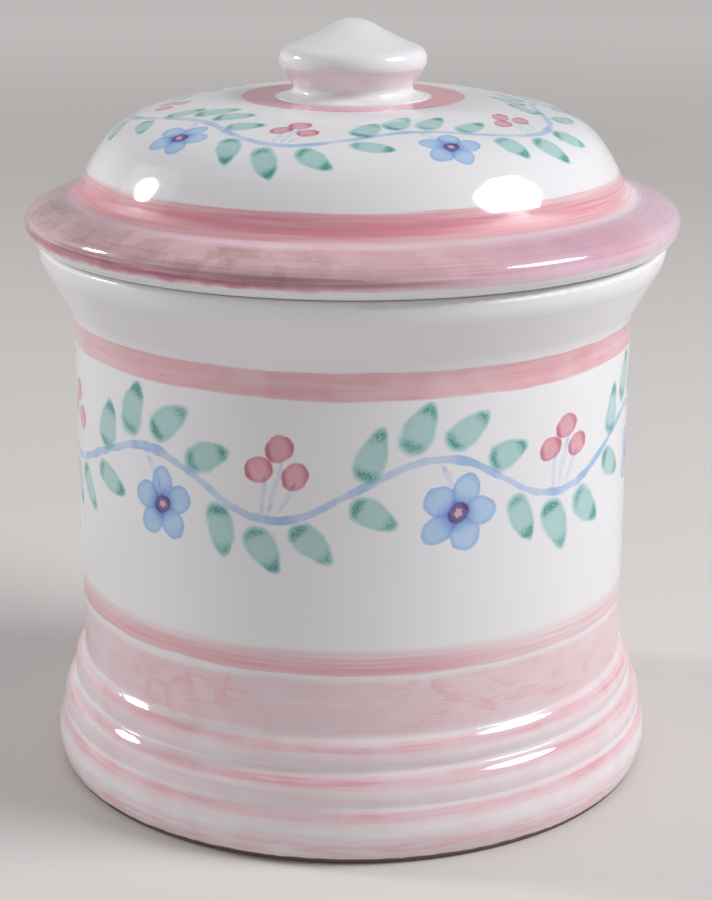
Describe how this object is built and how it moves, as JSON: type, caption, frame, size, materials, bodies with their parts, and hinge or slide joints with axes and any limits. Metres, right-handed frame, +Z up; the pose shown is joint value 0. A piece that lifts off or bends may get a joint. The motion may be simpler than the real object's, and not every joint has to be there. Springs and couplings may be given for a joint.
{
  "type": "lidded canister",
  "caption": "Straight-sided round kitchen canister of glazed earthenware, with a flared lip, a ringed base and a lift-off domed lid with a pointed knob.",
  "frame": {"origin": "centre of the foot ring, on the surface the canister stands on", "axes": "+Z up the axis of the jar and lid, -Y towards the viewer"},
  "size_m": [0.2102, 0.2102, 0.2452],
  "materials": {
    "jar_glaze": "gloss",
    "lid_glaze": "gloss",
    "knob_glaze": "gloss"
  },
  "bodies": {
    "jar": {"jar": "jar_glaze"},
    "lid": {"lid": "lid_glaze", "lid_knob": "knob_glaze"}
  },
  "joints": [
    {"name": "lid_lift", "type": "slide", "parent": "jar", "child": "lid", "axis": [0, 0, 1], "range_m": [0, 0.15]}
  ]
}
